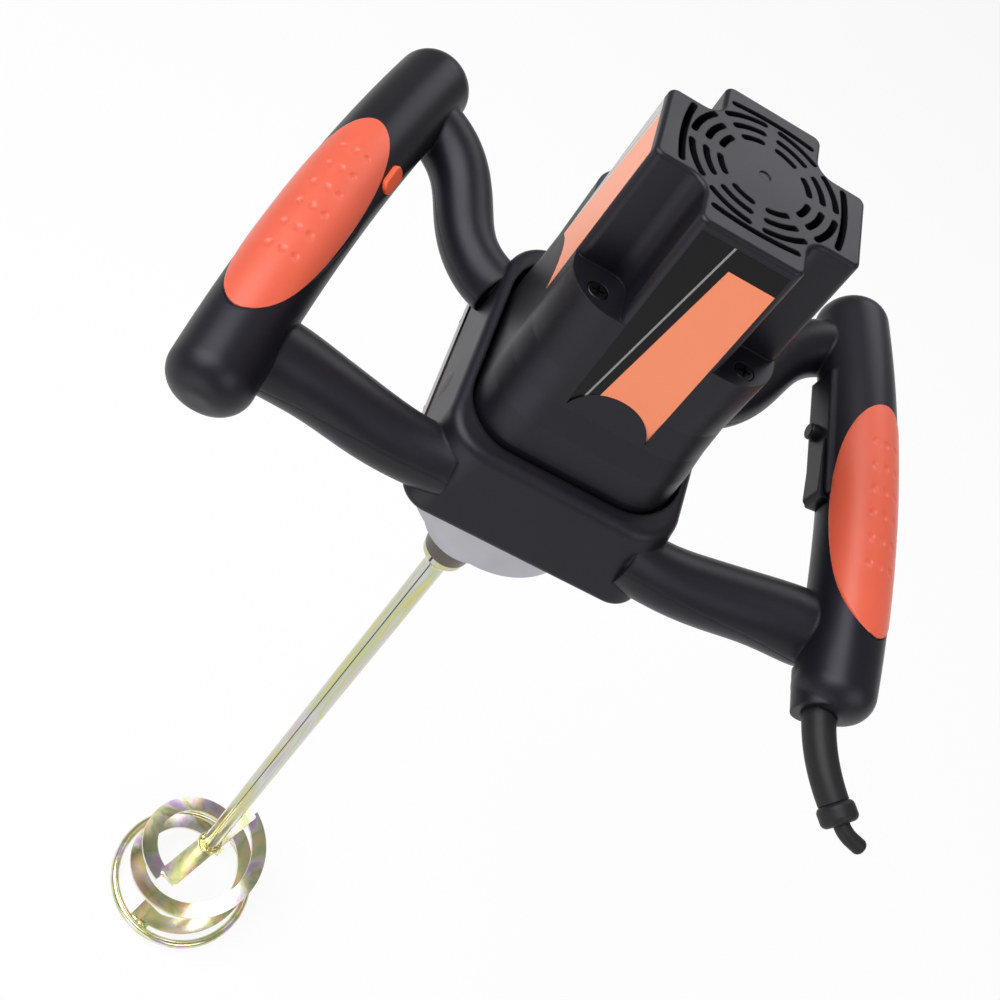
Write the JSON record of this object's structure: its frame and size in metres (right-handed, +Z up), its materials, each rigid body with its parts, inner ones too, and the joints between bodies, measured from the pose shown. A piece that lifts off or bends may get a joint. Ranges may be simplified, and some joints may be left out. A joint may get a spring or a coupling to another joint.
{
  "type": "mixing drill",
  "caption": "Hand-held mixing drill with side grips on a tilted frame, a vented motor cover, a gear case and a long shaft with a helical ribbon paddle.",
  "frame": {"origin": "centre of the flat vented end face of the motor cover", "axes": "+Z up along the motor axis away from the paddle, +X towards the grip with the trigger and cord, -Y towards the label side"},
  "size_m": [0.35, 0.2803, 0.8695],
  "materials": {
    "charcoal_plastic": "moulded nylon with a soft sheen",
    "label_film": "printed film",
    "orange_rubber": "soft-touch moulding",
    "orange_plastic": "moulded",
    "black_plastic": "moulded",
    "black_rubber": "moulded",
    "cast_aluminium": "die cast",
    "gear_steel": "machined",
    "screw_steel": "blackened",
    "dark_steel": "oiled",
    "yellow_zinc": "zinc plated, yellow passivated",
    "copper": "lacquered wire",
    "core_steel": "stacked sheet",
    "bronze": "sintered",
    "carbon": "pressed graphite",
    "board": "lacquered board"
  },
  "bodies": {
    "body": {"motor_cover": "charcoal_plastic", "handle_frame": "charcoal_plastic", "right_handle_cover": "charcoal_plastic", "left_handle_cover": "charcoal_plastic", "front_label": "label_film", "side_label": "label_film", "right_grip_pad": "orange_rubber", "left_grip_pad": "orange_rubber", "trigger_switch": "black_plastic", "fan_baffle": "black_plastic", "cord_clamp": "black_plastic", "cord_sleeve": "black_rubber", "cord_stub": "black_rubber", "spindle_seal": "black_rubber", "gear_case": "cast_aluminium", "gearbox_cover": "cast_aluminium", "armature_top_bearing": "gear_steel", "armature_low_bearing": "gear_steel", "intermediate_low_bearing": "gear_steel", "spindle_low_bearing": "gear_steel", "trigger_pin": "gear_steel", "brush_springs": "gear_steel", "motor_cover_screws": "screw_steel", "handle_cover_screws": "screw_steel", "handle_frame_screws": "screw_steel", "gearbox_screws": "screw_steel", "field_coils": "copper", "field_core": "core_steel", "intermediate_top_bush": "bronze", "spindle_top_bush": "bronze", "brush_holders": "bronze", "carbon_brushes": "carbon", "speed_control_board": "board"},
    "armature": {"armature_shaft": "gear_steel", "armature_core": "core_steel", "armature_windings": "copper", "commutator": "copper", "cooling_fan": "black_plastic"},
    "intermediate": {"intermediate_shaft": "gear_steel", "intermediate_gear": "gear_steel"},
    "spindle": {"spindle": "dark_steel", "spindle_key": "gear_steel", "spindle_circlip": "gear_steel", "output_gear": "gear_steel", "paddle_hub": "yellow_zinc", "paddle_shaft": "yellow_zinc", "paddle_crossbar": "yellow_zinc", "paddle_ring": "yellow_zinc", "paddle_ribbon_one": "yellow_zinc", "paddle_ribbon_two": "yellow_zinc"},
    "trigger": {"trigger": "black_plastic"},
    "lock_knob": {"lock_knob": "black_plastic"},
    "thumb_button": {"thumb_button": "orange_plastic"}
  },
  "joints": [
    {"name": "spindle_spin", "type": "hinge", "parent": "body", "child": "spindle", "pos_m": [0, 0.02, 0], "axis": [0, 0, 1], "continuous": true},
    {"name": "intermediate_spin", "type": "hinge", "parent": "body", "child": "intermediate", "pos_m": [0.02459, -0.0123, 0], "axis": [0, 0, 1], "continuous": true},
    {"name": "armature_spin", "type": "hinge", "parent": "body", "child": "armature", "pos_m": [0, 0, 0], "axis": [0, 0, 1], "continuous": true},
    {"name": "trigger_swing", "type": "hinge", "parent": "body", "child": "trigger", "pos_m": [0.12449, 0.03246, -0.13191], "axis": [0, -0.159, 0.9873], "range_deg": [0, 6], "stiffness_Nm_per_rad": 0.5, "springref_deg": -11.46},
    {"name": "lock_knob_push", "type": "slide", "parent": "body", "child": "lock_knob", "axis": [0.991, 0.1323, 0.0213], "range_m": [0, 0.003], "stiffness_N_per_m": 600, "springref_m": -0.002},
    {"name": "thumb_button_push", "type": "slide", "parent": "body", "child": "thumb_button", "axis": [-0.8311, 0.1975, -0.5198], "range_m": [0, 0.0012], "stiffness_N_per_m": 600, "springref_m": -0.002}
  ],
  "couplings": [
    {"joint": "intermediate_spin", "follows": "spindle_spin", "ratio": -4.8},
    {"joint": "armature_spin", "follows": "spindle_spin", "ratio": 24.533}
  ]
}
